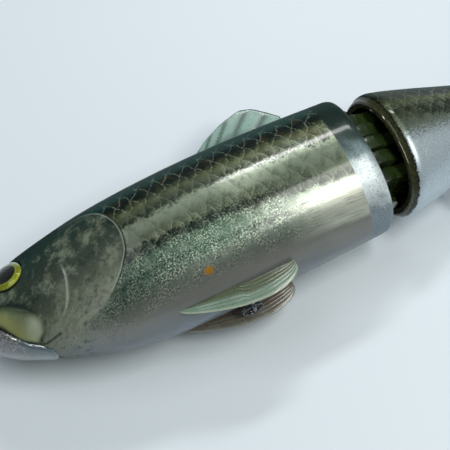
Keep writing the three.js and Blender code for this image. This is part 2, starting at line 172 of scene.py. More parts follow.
def solid_from_sheets(outer, inner):
    """Closes two matching rows x columns sheets into one solid."""
    rows, columns = outer.shape[:2]
    count = rows * columns
    points = np.concatenate([outer.reshape(-1, 3), inner.reshape(-1, 3)])
    faces = [*grid_faces(rows, columns), *grid_faces(rows, columns, count, flip=True)]
    index = np.arange(count).reshape(rows, columns)
    border = [*index[0, :-1], *index[:-1, -1], *index[-1, :0:-1], *index[:0:-1, 0]]
    for a, b in zip(border, border[1:] + border[:1]):
        faces.append([b, a, a + count, b + count])
    return points, faces


def outward(points, faces):
    """The faces turned so that the solid's volume is positive."""
    p = np.asarray(points)
    total = sum(np.dot(p[f[0]], np.cross(p[f[k]], p[f[k + 1]])) for f in faces for k in range(1, len(f) - 1))
    return faces if total > 0 else [list(f)[::-1] for f in faces]


def tube(path, radius, sides=14, closed=False):
    """Round wire along a path of points."""
    path = np.asarray(path, float)
    count = len(path)
    ahead = np.roll(path, -1, 0) - np.roll(path, 1, 0) if closed else np.gradient(path, axis=0)
    ahead /= np.linalg.norm(ahead, axis=1)[:, None]
    side = np.cross(ahead[0], [0.31, 0.17, 0.93])
    points = []
    for k in range(count):
        side = side - ahead[k] * side.dot(ahead[k])
        side /= np.linalg.norm(side)
        other = np.cross(ahead[k], side)
        turn = np.linspace(0, 2 * math.pi, sides, endpoint=False)
        points.append(path[k] + radius * (np.cos(turn)[:, None] * side + np.sin(turn)[:, None] * other))
    points = np.concatenate(points)
    faces = [list(f) for f in grid_faces(count, sides, wrap=True)]
    if closed:
        last = (count - 1) * sides
        shift = int(np.argmin([np.linalg.norm(points[last] - points[k]) for k in range(sides)]))
        for k in range(sides):
            n = (k + 1) % sides
            faces.append([last + k, last + n, (n + shift) % sides, (k + shift) % sides])
    else:
        faces.append(list(range(sides))[::-1])
        faces.append(list(range((count - 1) * sides, count * sides)))
    return points, outward(points, faces)


def joined(parts):
    """Several closed solids as one list of points and faces."""
    points, faces, start = [], [], 0
    for p, f in parts:
        points.append(np.asarray(p))
        faces += [[i + start for i in face] for face in f]
        start += len(p)
    return np.concatenate(points), faces


def turned(profile, centre, axis, sides=64):
    """A solid of revolution: profile of [radius, height] from the axis and back to it."""
    axis = np.asarray(axis, float) / np.linalg.norm(axis)
    side = np.cross(axis, [0.2, 0.9, 0.1])
    side /= np.linalg.norm(side)
    other = np.cross(axis, side)
    turn = np.linspace(0, 2 * math.pi, sides, endpoint=False)
    round_ = np.cos(turn)[:, None] * side + np.sin(turn)[:, None] * other
    middle = profile[1:-1]
    points = [np.asarray(centre) + axis * profile[0][1]]
    points += [p for r, h in middle for p in (np.asarray(centre) + axis * h + r * round_)]
    points.append(np.asarray(centre) + axis * profile[-1][1])
    faces = [list(f) for f in grid_faces(len(middle), sides, 1, wrap=True)]
    last = len(points) - 1
    top = 1 + (len(middle) - 1) * sides
    for k in range(sides):
        n = (k + 1) % sides
        faces.append([0, 1 + n, 1 + k])
        faces.append([last, top + k, top + n])
    points = np.array(points)
    return points, outward(points, faces)


def curve_through(points, count):
    """Smooth curve through given points, evenly spaced along its length."""
    p = np.asarray(points, float)
    padded = np.concatenate([[2 * p[0] - p[1]], p, [2 * p[-1] - p[-2]]])
    fine = []
    for k in range(1, len(padded) - 2):
        a, b, c, d = padded[k - 1:k + 3]
        for t in np.linspace(0, 1, 24, endpoint=False):
            fine.append(0.5 * (2 * b + (c - a) * t + (2 * a - 5 * b + 4 * c - d) * t**2
                               + (3 * b - a - 3 * c + d) * t**3))
    fine = np.array(fine + [p[-1]])
    run = np.concatenate([[0], np.cumsum(np.linalg.norm(np.diff(fine, axis=0), axis=1))])
    at = np.linspace(0, run[-1], count)
    return np.column_stack([np.interp(at, run, fine[:, k]) for k in range(fine.shape[1])])


# ---------------------------------------------------------------- node materials

def rgb(code):
    """Linear colour from a hex code."""
    parts = [int(code[k:k + 2], 16) / 255 for k in (0, 2, 4)]
    return tuple(p / 12.92 if p <= 0.04045 else ((p + 0.055) / 1.055) ** 2.4 for p in parts) + (1.0,)


class Graph:
    """Builds one procedural material; numbers and node outputs mix freely."""

    def __init__(self, name):
        self.material = bpy.data.materials.new(name)
        self.material.use_nodes = True
        self.tree = self.material.node_tree
        self.tree.nodes.clear()
        self.shader = self.node("BsdfPrincipled")
        output = self.node("OutputMaterial")
        self.tree.links.new(self.shader.outputs[0], output.inputs[0])

    def node(self, kind, **settings):
        made = self.tree.nodes.new("ShaderNode" + kind)
        for key, value in settings.items():
            setattr(made, key, value)
        return made

    def put(self, socket, value):
        if isinstance(value, bpy.types.NodeSocket):
            self.tree.links.new(value, socket)
        else:
            socket.default_value = value

    def set(self, **values):
        """Shader sockets by name, with _ for a space."""
        for key, value in values.items():
            self.put(self.shader.inputs[key.replace("_", " ")], value)
        return self

    def math(self, operation, a, b=0.0, c=None):
        made = self.node("Math", operation=operation)
        self.put(made.inputs[0], a)
        self.put(made.inputs[1], b)
        if c is not None:
            self.put(made.inputs[2], c)
        return made.outputs[0]

    def add(self, a, b, *more):
        total = self.math("ADD", a, b)
        return self.add(total, *more) if more else total

    def sub(self, a, b):
        return self.math("SUBTRACT", a, b)

    def mul(self, a, b, *more):
        product = self.math("MULTIPLY", a, b)
        return self.mul(product, *more) if more else product

    def step(self, low, high, value):
        """0 at low and 1 at high, smooth between; high may be the smaller."""
        made = self.node("MapRange", interpolation_type="SMOOTHSTEP")
        self.put(made.inputs["Value"], value)
        made.inputs["From Min"].default_value = low
        made.inputs["From Max"].default_value = high
        return made.outputs["Result"]

    def band(self, value, centre, half, soft):
        """1 within half of centre, fading out over soft."""
        off = self.math("ABSOLUTE", self.sub(value, centre))
        return self.sub(1.0, self.step(half, half + soft, off))

    def vector(self, name):
        return self.node("Attribute", attribute_name=name).outputs["Vector"]

    def value(self, name):
        return self.node("Attribute", attribute_name=name).outputs["Fac"]

    def axes(self, vector):
        made = self.node("SeparateXYZ")
        self.put(made.inputs[0], vector)
        return made.outputs[0], made.outputs[1], made.outputs[2]

    def combined(self, x, y, z=0.0):
        made = self.node("CombineXYZ")
        for socket, value in zip(made.inputs, (x, y, z)):
            self.put(socket, value)
        return made.outputs[0]

    def noise(self, vector, scale, detail=2.0, rough=0.5):
        made = self.node("TexNoise")
        self.put(made.inputs["Vector"], vector)
        made.inputs["Scale"].default_value = scale
        made.inputs["Detail"].default_value = detail
        made.inputs["Roughness"].default_value = rough
        return made.outputs["Fac"]

    def distance(self, x, v, at_x, at_v):
        """How far (x, v) is from a point."""
        dx, dv = self.sub(x, at_x), self.sub(v, at_v)
        return self.math("SQRT", self.add(self.mul(dx, dx), self.mul(dv, dv)))

    def mix(self, factor, a, b, blend="MIX"):
        made = self.node("Mix", data_type="RGBA", blend_type=blend)
        self.put(made.inputs[0], factor)
        self.put(made.inputs[6], a)
        self.put(made.inputs[7], b)
        return made.outputs[2]

    def tint(self, colour, code, *shares):
        """The colour mixed towards a hex colour by the product of the shares."""
        return self.mix(shares[0] if len(shares) == 1 else self.mul(*shares), colour, rgb(code))

    def ramp(self, value, stops):
        """Colour ramp over 0 to 1 from (place, hex colour) pairs."""
        made = self.node("ValToRGB")
        band = made.color_ramp
        while len(band.elements) < len(stops):
            band.elements.new(0.5)
        for element, (at, code) in zip(band.elements, stops):
            element.position = at
            element.color = rgb(code)
        self.put(made.inputs[0], value)
        return made.outputs[0]

    def bump(self, height, strength, distance):
        made = self.node("Bump")
        made.inputs["Strength"].default_value = strength
        made.inputs["Distance"].default_value = distance
        self.put(made.inputs["Height"], height)
        return made.outputs[0]


SCALE_PITCH, SCALE_ROW, SCALE_ARC = 5.7, 9.4, 5.3      # mm


def scale_net(g, x, v):
    """Two staggered families of arcs that cross as a net: the line mask and a height."""
    masks, heights = [], []
    for shift_x, shift_v in ((0.0, 0.0), (SCALE_PITCH / 2, SCALE_ROW / 2)):
        row = g.math("ROUND", g.math("DIVIDE", g.sub(v, shift_v), SCALE_ROW))
        off = g.sub(g.sub(v, shift_v), g.mul(row, SCALE_ROW))
        reach = g.math("SQRT", g.sub(SCALE_ARC**2, g.mul(off, off)))
        along = g.math("DIVIDE", g.sub(g.sub(x, shift_x), reach), SCALE_PITCH)
        near = g.math("ABSOLUTE", g.sub(along, g.math("ROUND", along)))
        away = g.mul(near, reach, SCALE_PITCH / SCALE_ARC)
        masks.append(g.step(0.3, 0.06, away))
        heights.append(g.sub(1.0, g.math("FRACT", along)))
    return g.math("MAXIMUM", *masks), g.mul(g.add(*heights), 0.5)


def girth_ramp(g, v):
    """Paint from the back down to the belly."""
    stops = [
        (0, "0b2a28"), (8, "0e302d"), (18, "15403a"), (21.4, "081a18"), (24.2, "0a1613"),
        (25.8, "39432f"), (27.6, "636a4d"), (29.6, "5b6453"), (30.7, "262b1e"), (31.5, "292e20"),
        (32.6, "a2ae9a"), (35.4, "8c9884"), (37.4, "6a735f"), (39.4, "5a6250"), (40.4, "0e1510"),
        (42.4, "121a12"), (43.4, "58685a"), (47.2, "68766c"), (48.2, "333e38"), (48.9, "333e38"),
        (50.0, "5d6960"), (55.0, "68716a"), (60.0, "84847e"), (67.0, "7d8083"), (76.0, "7f8c98"),
    ]
    return g.ramp(g.math("DIVIDE", v, REFERENCE_GIRTH), [(at / REFERENCE_GIRTH, c) for at, c in stops])


def head_paint(g, where, v):
    """Mottled olive and brown over a dark crown, paling to lilac silver under the cheek."""
    stops = [
        (0, "0e211f"), (12, "152b28"), (20, "213530"), (27, "2c3831"), (34, "38413a"), (40, "535a4f"),
        (45, "7b8276"), (51, "90958c"), (60, "90969a"), (76, "929ca6"),
    ]
    colour = g.ramp(g.math("DIVIDE", v, REFERENCE_GIRTH), [(at / REFERENCE_GIRTH, c) for at, c in stops])
    cloud = g.noise(where, 0.16, 6.0, 0.7)
    blotch = g.noise(where, 0.34, 6.0, 0.72)
    grain = g.noise(where, 1.3, 5.0, 0.75)
    middle = g.band(v, 37.0, 14.0, 9.0)
    colour = g.tint(colour, "858f7c", g.step(0.46, 0.66, cloud), middle, 0.62)
    colour = g.tint(colour, "433a31", g.step(0.5, 0.64, blotch), middle, 0.4)
    colour = g.tint(colour, "182420", g.step(0.48, 0.36, blotch), 0.5)
    colour = g.tint(colour, "8f9682", g.step(0.58, 0.7, grain), middle, 0.3)
    return g.tint(colour, "121a17", g.step(0.43, 0.34, grain), 0.35)


def scale_paint(g, where, colour, on_body, foil, cloud, fine):
    """Dark cells, pale puffs, golden stain and pale lines of the scale net; and its height."""
    x, v, _ = g.axes(where)
    bend = g.sub(g.noise(where, 0.28, 3.0), 0.5)
    twist = g.sub(g.noise(where, 0.7, 3.0), 0.5)
    net_x, net_v = g.add(x, g.mul(bend, 3.0)), g.add(v, g.mul(bend, 1.6), g.mul(twist, 1.6))
    line, rise = scale_net(g, net_x, net_v)
    net_area = g.mul(g.step(14.0, 18.0, v), g.step(60.0, 50.0, v))
    dark_cells = g.mul(g.step(0.35, 0.8, g.add(rise, g.mul(twist, 0.9))), g.step(0.3, 0.6, cloud))
    colour = g.tint(colour, "121c1a", dark_cells, net_area, on_body, 0.38)
    puffs = g.mul(g.step(0.6, 0.1, g.add(rise, g.mul(twist, 0.9))), net_area, on_body)
    puffs = g.mul(puffs, g.step(22.0, 30.0, v))
    colour = g.tint(colour, "a4af98", puffs, 0.18)
    stained = g.mul(g.step(0.52, 0.62, cloud), g.band(v, 27.0, 5.0, 6.0), on_body)
    colour = g.tint(colour, "4a421e", stained, 0.3)
    shown = g.mul(g.step(0.36, 0.6, fine), g.step(10.0, 24.0, v))
    net = g.mul(line, net_area, on_body, foil, shown)
    colour = g.tint(colour, "aab6a2", net, 0.42)
    return colour, g.mul(rise, net_area, 0.6)


def flank_shine(g, x, v, colour, area, cloud, grain):
    """Teal zone, glitter and pepper, a painted highlight (the glare) by the joint and painted shade in rows
    round it.
    """
    teal = g.mul(g.band(v, 48.0, 3.0, 4.0), g.step(-42.0, -56.0, x), area)
    colour = g.tint(colour, "2c5346", teal, 0.4)
    patchy = g.mul(g.step(0.36, 0.6, cloud), g.add(0.25, g.mul(g.step(-16.0, -34.0, x), 0.75)))
    glitter = g.mul(g.band(v, 51.0, 6.0, 6.0), area, patchy)
    colour = g.tint(colour, "ccd6c2", g.step(0.53, 0.6, grain), glitter, 0.75)
    colour = g.tint(colour, "1b2823", g.step(0.48, 0.42, grain), glitter, 0.8)
    pepper = g.mul(g.band(v, 46.5, 5.0, 5.0), area, g.step(-24.0, -40.0, x))
    colour = g.tint(colour, "16231e", g.step(0.5, 0.43, grain), pepper, 0.7)
    # Glare: pale streaks where a lamp's reflection falls near the joint, a painted highlight.
    streak = g.noise(g.combined(g.mul(x, 0.12), g.mul(v, 2.4)), 1.0, 3.0, 0.6)
    glare = g.mul(g.step(-40.0, -14.0, x), g.band(v, 55.0, 5.0, 3.5), area)
    glare = g.mul(glare, g.step(0.2, 0.55, streak))
    colour = g.tint(colour, "e4e8da", glare, 0.85)
    # Painted shade: two dark rows that damp the strip lamp's highlight on the fore flank and the foil's
    # brightness by the joint.
    dim_aft = g.mul(g.step(-52.0, -24.0, x), g.band(v, 40.0, 4.0, 3.0))
    dim_fore = g.mul(g.step(-38.0, -58.0, x), g.band(v, 33.5, 4.0, 3.0))
    dim = g.mul(g.math("MAXIMUM", dim_aft, dim_fore), area)
    return g.tint(colour, "2c362c", dim, 0.55)


def painted_foil(rear=False):
    """Foil under clear coat, with scale net, stripes, tints, speckle and wear, and painted highlights and
    shade.
    """
    g = Graph("painted_foil_rear" if rear else "painted_foil_front")
    where = g.vector("body")
    x, v, _ = g.axes(where)
    broad = g.noise(where, 0.06, 3.0)
    cloud = g.noise(where, 0.22, 4.0, 0.6)
    fine = g.noise(where, 1.1, 4.0, 0.65)
    grain = g.noise(where, 1.5, 5.0, 0.85)
    flank = g.step(14.0, 32.0, v)
    slope = g.mul(g.add(x, 80.0), 0.07, g.step(28.0, 42.0, v))
    waver = g.add(g.mul(g.sub(cloud, 0.5), 5.0), g.mul(g.sub(fine, 0.5), 5.0))
    colour = girth_ramp(g, g.add(g.sub(v, slope), waver))
    if rear:
        foil, on_body = 1.0, 1.0
    else:
        foil = g.step(-9.3, -9.6, x)
        on_body = g.step(-0.8, 0.8, g.value("gill"))
        colour = g.mix(on_body, head_paint(g, where, v), colour)
    area = g.mul(on_body, foil)
    colour, net_height = scale_paint(g, where, colour, on_body, foil, cloud, fine)
    colour = flank_shine(g, x, v, colour, area, cloud, grain)
    dulled = g.mul(g.step(0.4, 0.7, broad), g.add(0.02, g.mul(flank, 0.16)))
    colour = g.tint(colour, "4c5450", dulled)
    colour = g.tint(colour, "04100f", g.step(26.0, 12.0, v), on_body, 0.4)
    dashes = g.mul(g.band(g.add(g.sub(v, slope), waver), 41.4, 0.9, 1.0), g.step(0.34, 0.5, fine))
    colour = g.tint(colour, "0d1511", dashes, area, 0.28)
    if rear:
        colour, metal, coat, rough = rear_finish(g, x, v, colour, fine, grain)
    else:
        satin = satin_band(g, v, cloud, grain)
        colour = g.mix(foil, satin, colour)
        away = g.add(g.distance(x, v, -65.0, 57.3), g.mul(g.sub(fine, 0.5), 2.0))
        colour = g.tint(colour, "b07c08", g.step(2.0, 0.5, away), 0.95)
        colour = head_marks(g, colour, fine)
        bare_band = g.mul(on_body, g.sub(1.0, foil))
        metal = g.add(g.mul(area, 0.5), 0.12, g.mul(bare_band, 0.22))
        metal = g.mul(metal, g.add(0.12, g.mul(flank, 0.88)), g.step(76.0, 52.0, v))
        lobe = g.mul(g.value("maxilla"), 0.3)
        coat = g.add(0.02, lobe, g.mul(flank, g.add(g.mul(area, 0.6), g.mul(bare_band, 0.35))))
        rough = g.add(g.sub(0.5, g.add(g.mul(area, 0.2), g.mul(bare_band, 0.1))), g.mul(fine, 0.16))
    height = g.add(net_height, g.mul(grain, 0.3))
    g.set(Base_Color=colour, Metallic=metal, Roughness=rough, Coat_Weight=coat)
    g.set(Normal=g.bump(height, 0.35, 0.00025), IOR=1.12, Specular_IOR_Level=0.1)
    g.set(Coat_Roughness=0.12, Coat_IOR=1.45)
    return g.material


def satin_band(g, v, cloud, grain):
    """The bare band behind the foil: grey-green above, bluish silver below with a painted highlight across
    its pale middle, peppered.
    """
    # The ramp's near-white stretch, from about 0.6 to 0.75 of the girth, is a painted highlight where a lamp
    # reflects.
    satin = g.ramp(g.math("DIVIDE", g.add(v, g.mul(g.sub(cloud, 0.5), 14.0)), REFERENCE_GIRTH), [
        (0.0, "0e2624"), (0.24, "182c27"), (0.36, "202c28"), (0.46, "3c4946"), (0.55, "74858a"),
        (0.63, "cdd9dc"), (0.72, "d6e0e4"), (0.81, "85929a"), (1.0, "7e8c98")])
    satin = g.tint(satin, "cfdbe2", g.step(0.54, 0.62, grain), g.band(v, 52.0, 8.0, 6.0), 0.5)
    return g.tint(satin, "2c383a", g.step(0.46, 0.39, grain), 0.7)


def rear_finish(g, x, v, colour, fine, grain):
    """Mottled start, silver-blue lower half and the bare, chipped rim of the rear section."""
    start = g.mul(g.step(34.0, 12.0, x), g.step(44.0, 34.0, v))
    colour = g.tint(colour, "2a3418", start, g.step(0.42, 0.56, fine), 0.75)
    silver = g.tint(rgb("bccad3"), "3a454c", g.step(0.45, 0.39, grain), 0.5)
    silver = g.tint(silver, "e6eff4", g.step(0.54, 0.61, grain), 0.6)
    colour = g.mix(g.step(39.0, 48.0, g.add(v, g.mul(g.sub(fine, 0.5), 14.0))), colour, silver)
    along = g.sub(g.sub(x, RIM_X), g.mul(g.sub(fine, 0.5), 2.4))
    bare = g.step(2.1, 1.7, along)
    colour = g.tint(colour, "10160f", g.band(along, 2.0, 0.15, 0.4))
    colour = g.mix(bare, colour, g.tint(rgb("14190b"), "45472a", g.step(0.25, 0.75, fine)))
    flank = g.step(14.0, 32.0, v)
    painted = g.sub(1.0, bare)
    metal = g.mul(painted, g.add(0.06, g.mul(flank, 0.55)))
    coat = g.add(g.mul(bare, 0.9), g.mul(painted, flank, 0.55))
    return colour, metal, coat, g.add(g.sub(0.34, g.mul(bare, 0.14)), g.mul(fine, 0.16))


def head_marks(g, colour, fine):
    """Edges of the head, painted shade in its grooves and painted highlights on its ridges, from marks
    worked out with its relief.
    """
    mottle = g.mul(g.value("maxilla"), g.add(0.35, g.mul(fine, 0.6)))
    colour = g.tint(colour, "6f7b5e", mottle)
    colour = g.tint(colour, "8f935a", g.value("lobe_low"), 0.75)
    # Painted shade along the lobe's top edge.
    colour = g.tint(colour, "172820", g.value("lobe_top_painted_shade"), 0.85)
    # Painted highlight: a pale patch round the lobe's glint.
    colour = g.tint(colour, "b2baa8", g.value("lobe_painted_highlight"), 0.6)
    colour = g.tint(colour, "8e9186", g.value("cheek"), 0.14)
    # Painted shade in the grooves above the lobe, in the slit, along the mouth and in the throat lines.
    colour = g.tint(colour, "161f1c", g.value("shade"), g.add(0.55, g.mul(fine, 0.5)))
    gill, line = g.value("gill"), g.value("gill_line")
    # At the gill cover's edge: a pale line on its ridge is a painted highlight, the dark line in its groove
    # painted shade.
    colour = g.tint(colour, "9aa69a", g.band(gill, -0.5, 0.04, 0.34), line, 0.4)
    colour = g.tint(colour, "0c1512", g.band(gill, 0.0, 0.07, 0.26), line, 0.85)
    # Painted highlight along the cheek's crease.
    return g.tint(colour, "c9cfc2", g.value("glint"), 0.8)


def clear_plastic(name, body_colour, ray_colour, edge_colour, through, root_colour="3c6458"):
    """Tinted translucent plastic; the 'blade' mark holds ray, edge and root shares."""
    g = Graph(name)
    ray, edge, root = g.axes(g.vector("blade"))
    where = g.node("TexCoord").outputs["Object"]
    cloud = g.noise(where, 160.0, 3.0)
    grain = g.noise(where, 1100.0, 3.0, 0.6)
    pale = g.mul(g.step(0.4, 0.7, cloud), 0.3)
    colour = g.mix(g.mul(ray, 0.85), g.tint(rgb(body_colour), "c2d2c6", pale), rgb(ray_colour))
    ragged = g.mul(root, g.add(0.5, g.mul(grain, 0.5), g.mul(cloud, 0.5)))
    colour = g.mix(g.mul(g.step(0.2, 0.7, ragged), 0.85), colour, rgb(root_colour))
    colour = g.mix(edge, colour, rgb(edge_colour))
    g.set(Base_Color=colour, Roughness=g.add(0.22, g.mul(grain, 0.14)))
    g.set(Transmission_Weight=g.mul(g.sub(1.0, g.mul(edge, 0.7)), through))
    g.set(IOR=1.46, Coat_Weight=0.3, Coat_Roughness=0.1, Normal=g.bump(cloud, 0.1, 0.0002))
    return g.material


def bare_resin():
    g = Graph("bare_resin")
    where = g.node("TexCoord").outputs["Object"]
    cloud = g.noise(where, 140.0, 4.0, 0.6)
    grain = g.noise(where, 900.0, 4.0, 0.65)
    colour = g.ramp(cloud, [(0.25, "131c0a"), (0.5, "263418"), (0.75, "3c4a24")])
    colour = g.tint(colour, "6c7648", g.step(0.64, 0.72, grain), 0.25)
    g.set(Base_Color=colour, Roughness=g.add(0.16, g.mul(grain, 0.2)))
    g.set(Transmission_Weight=g.mul(cloud, 0.35), IOR=1.5, Coat_Weight=0.6, Coat_Roughness=0.06)
    g.set(Normal=g.bump(grain, 0.15, 0.0001))
    return g.material


def metal(name, dark, light, rough, scale=900.0, stretch=(1, 1, 1)):
    """Drawn wire or cast lead: fine streaks and dull patches."""
    g = Graph(name)
    mapping = g.node("Mapping")
    g.put(mapping.inputs["Vector"], g.node("TexCoord").outputs["Object"])
    mapping.inputs["Scale"].default_value = stretch
    streak = g.noise(mapping.outputs[0], scale, 4.0, 0.6)
    patch = g.noise(mapping.outputs[0], scale / 8, 2.0)
    g.set(Base_Color=g.mix(g.mul(g.add(streak, patch), 0.5), rgb(dark), rgb(light)), Metallic=1.0)
    g.set(Roughness=g.add(rough, g.mul(streak, 0.18)), Normal=g.bump(streak, 0.1, 0.00005))
    return g.material


def eye_foil():
    """Black pupil, bright inner line, yellow-green ring and a dark rim, by radius in mm."""
    g = Graph("eye_foil")
    radius, angle, _ = g.axes(g.vector("iris"))
    grain = g.noise(g.combined(g.mul(angle, 9.0), g.mul(radius, 1.2)), 2.4, 3.0)
    wide = g.add(g.math("DIVIDE", radius, 6.0), g.mul(g.sub(grain, 0.5), 0.012))
    colour = g.ramp(wide, [
        (0.0, "050806"), (0.57, "070b09"), (0.6, "4a5008"), (0.645, "c8cc3a"), (0.7, "98a016"),
        (0.82, "a9b226"), (0.865, "d4d860"), (0.89, "2a3020"), (1.0, "141a12")])
    g.set(Base_Color=colour, Metallic=g.mul(g.step(3.4, 3.7, radius), 0.45))
    g.set(Roughness=g.add(0.26, g.mul(grain, 0.2)), Specular_IOR_Level=0.1)
    g.set(Normal=g.bump(grain, 0.3, 0.0001))
    return g.material


def eye_dome():
    g = Graph("eye_dome")
    grain = g.noise(g.node("TexCoord").outputs["Object"], 700.0, 3.0)
    g.set(Base_Color=g.tint(rgb("f4f8f6"), "ffffff", grain), Transmission_Weight=1.0, IOR=1.42)
    g.set(Roughness=g.mul(grain, 0.06))
    return g.material


# ---------------------------------------------------------------- head relief, in x and girth

GILL = curve_through([(-102, 15.2), (-97, 15.2), (-92.8, 16.0), (-88.6, 19.6), (-85.5, 25), (-84.1, 31),
                      (-85, 37.5), (-87.5, 41.5), (-91, 45), (-95.5, 48.2), (-101, 50.6)], 160)
CREASE = curve_through([(-105.2, 28.5), (-105.3, 33), (-106.8, 37.6), (-108.8, 40.6), (-112.2, 43.0)], 160)
MAXILLA = [(-131.5, 22.6), (-127.2, 22.9), (-123.5, 26.5), (-120.5, 30.5), (-118, 34.5), (-116.9, 38),
           (-117.6, 41.2), (-119.8, 42.6)]
MOUTH = [(-139.4, 9.6), (-136.6, 17.5), (-133.5, 22), (-130.2, 26.7), (-128, 32), (-125.5, 37.5),
         (-123, 40.8), (-120.5, 44), (-119, 45.4)]
SLIT = curve_through([(-119.4, 45.2), (-116.8, 45.6), (-113.8, 45.8)], 160)
THROAT = [curve_through(points, 120) for points in (
    [(-113.4, 47.4), (-109, 44.4), (-104, 44.2), (-98, 46.0)],
    [(-112, 50), (-107.4, 46.8), (-102.5, 46.8), (-97.4, 48.6)],
    [(-109.6, 52), (-105.5, 49.4), (-100.5, 49.6)])]


def nearest(x, v, line):
    """Distance of every grid point to a line, and the share of the line's length where it is nearest."""
    at = np.stack([x.ravel(), v.ravel()], 1)
    best = np.full(len(at), 1e9)
    share = np.zeros(len(at))
    for k, point in enumerate(line):
        away = np.hypot(*(at - point).T)
        closer = away < best
        best[closer], share[closer] = away[closer], k / (len(line) - 1)
    return best.reshape(x.shape), share.reshape(x.shape)


def inside(x, v, outline):
    """True where grid points lie inside a closed outline."""
    found = np.zeros(x.shape, bool)
    for (ax, av), (bx, bv) in zip(outline, np.roll(outline, -1, 0)):
        crosses = (av > v) != (bv > v)
        with np.errstate(divide="ignore", invalid="ignore"):
            found ^= crosses & (x < (bx - ax) * (v - av) / (bv - av) + ax)
    return found


def groove(away, width):
    return np.exp(-(away / width) ** 2)


JAW_LINE = np.array([(-139.8, -0.3), (-136.6, -1.0), (-133.5, -2.6), (-130.4, -5.2), (-127.4, -8.8),
                     (-123.9, -12.2), (-120.2, -14.6), (-118.0, -16.4)])
JAW_END_X = -118.0


def jaw_line_y(x):
    return np.interp(x, JAW_LINE[:, 0], JAW_LINE[:, 1])


def head_relief(x, y, v):
    """Lift in mm off the plain form, and the marks that its material reads."""
    lift = np.zeros(x.shape)
    away, share = nearest(x, v, GILL)
    edge_x = np.interp(v, GILL[:, 1], GILL[:, 0])
    signed = np.where(x < edge_x, -away, away)
    fade = smooth(50, 44, v) * smooth(11, 14.5, v)
    blur = signed * fade + 0.08 * (x - edge_x) * (1 - fade)
    ends = smooth(0, 0.12, share) * smooth(1, 0.84, share)
    lift += ends * np.where(signed < 0, 0.06 * groove(away, 1.2), -0.24 * groove(away, 0.55))
    crease, along = nearest(x, v, CREASE)
    crease_ends = smooth(0, 0.2, along) * smooth(1, 0.75, along)
    lift += crease_ends * 0.12 * groove(crease, 0.5)
    mouth, _ = nearest(x, v, curve_through(MOUTH, 160))
    top, _ = nearest(x, v, curve_through(MAXILLA, 160))
    lobe = inside(x, v, np.array(MAXILLA + MOUTH[:2:-1]))
    lip = smooth(0, 1.1, np.minimum(top, mouth)) * lobe
    lift += 0.5 * lip * (0.3 + 0.7 * smooth(-118.3, -123, x))
    lift += 0.35 * smooth(3.2, 0.6, np.hypot(x + 118.9, v - 38.4)) * lobe
    slit, along = nearest(x, v, SLIT)
    lift -= 0.5 * groove(slit, 0.45) * smooth(1.05, 0.8, along)
    throat, along = np.full(x.shape, 1e9), np.zeros(x.shape)
    for line in THROAT:
        away_from, share_of = nearest(x, v, line)
        closer = away_from < throat
        throat, along = np.where(closer, away_from, throat), np.where(closer, share_of, along)
    throat_ends = smooth(0, 0.2, along) * smooth(1, 0.7, along)
    lift -= 0.12 * throat_ends * groove(throat, 0.4)
    under_jaw = smooth(0, 0.5, jaw_line_y(x) - y) * smooth(JAW_END_X + 0.3, JAW_END_X - 1.2, x)
    lift -= JAW_SINK * under_jaw
    # shade is painted shade for the grooves, read as colour by the material.
    shade = np.maximum.reduce([
        0.75 * groove(top, 0.6) * (v > 22) * smooth(-116.6, -121, x), groove(slit, 0.42),
        0.9 * groove(mouth, 0.4), 0.35 * throat_ends * groove(throat, 0.3)])
    # glint is a painted highlight along the crease.
    glint = 0.62 * crease_ends * groove(crease, 0.3)
    cheek = smooth(4.5, 2.0, np.hypot((x + 107.4) / 0.8, v - 35.5))
    return lift, {"gill": blur, "gill_line": ends * fade, "maxilla": lip, "shade": shade,
                  "glint": glint, "cheek": cheek,
                  "lobe_low": smooth(5.5, 0.6, mouth) * lip,
                  # Painted shade along the lobe's top edge.
                  "lobe_top_painted_shade": smooth(3.0, 0.3, top) * smooth(-116.2, -119.5, x) * lobe,
                  # Painted highlight round the lobe's glint.
                  "lobe_painted_highlight": smooth(7.5, 1.5, np.hypot(x + 118.4, v - 38.5)) * smooth(0, 2.2, top) * lobe}


# ---------------------------------------------------------------- shells

COLUMNS = 128                       # grid points from the back to the belly
THIN = 6                            # the inside of a shell has one point for this many outside


def body_sheet(rows, angles):
    """Points and girth of a sheet given as (x, dims) rows."""
    points = np.zeros((len(rows), len(angles), 3))
    for k, (x, dims) in enumerate(rows):
        y, z = section_point(dims, angles)
        points[k] = np.column_stack([np.full(len(angles), x), y, z])
    steps = np.linalg.norm(np.diff(points, axis=1), axis=2)
    girth = np.concatenate([np.zeros((len(rows), 1)), np.cumsum(steps, 1)], 1)
    return points, girth


def normals_of(points):
    along = np.gradient(points, axis=0)
    across = np.gradient(points, axis=1)
    normal = np.cross(along, across)
    normal /= np.maximum(np.linalg.norm(normal, axis=2), 1e-9)[..., None]
    normal[:, [0, -1], 2] = 0       # the middle seam stays in the middle plane
    middle = points.copy()
    middle[..., 0] = 0
    turn = np.sign((normal * middle).sum(2).mean())
    return normal * turn


def thinned(count):
    return sorted({*range(0, count, THIN), count - 1})


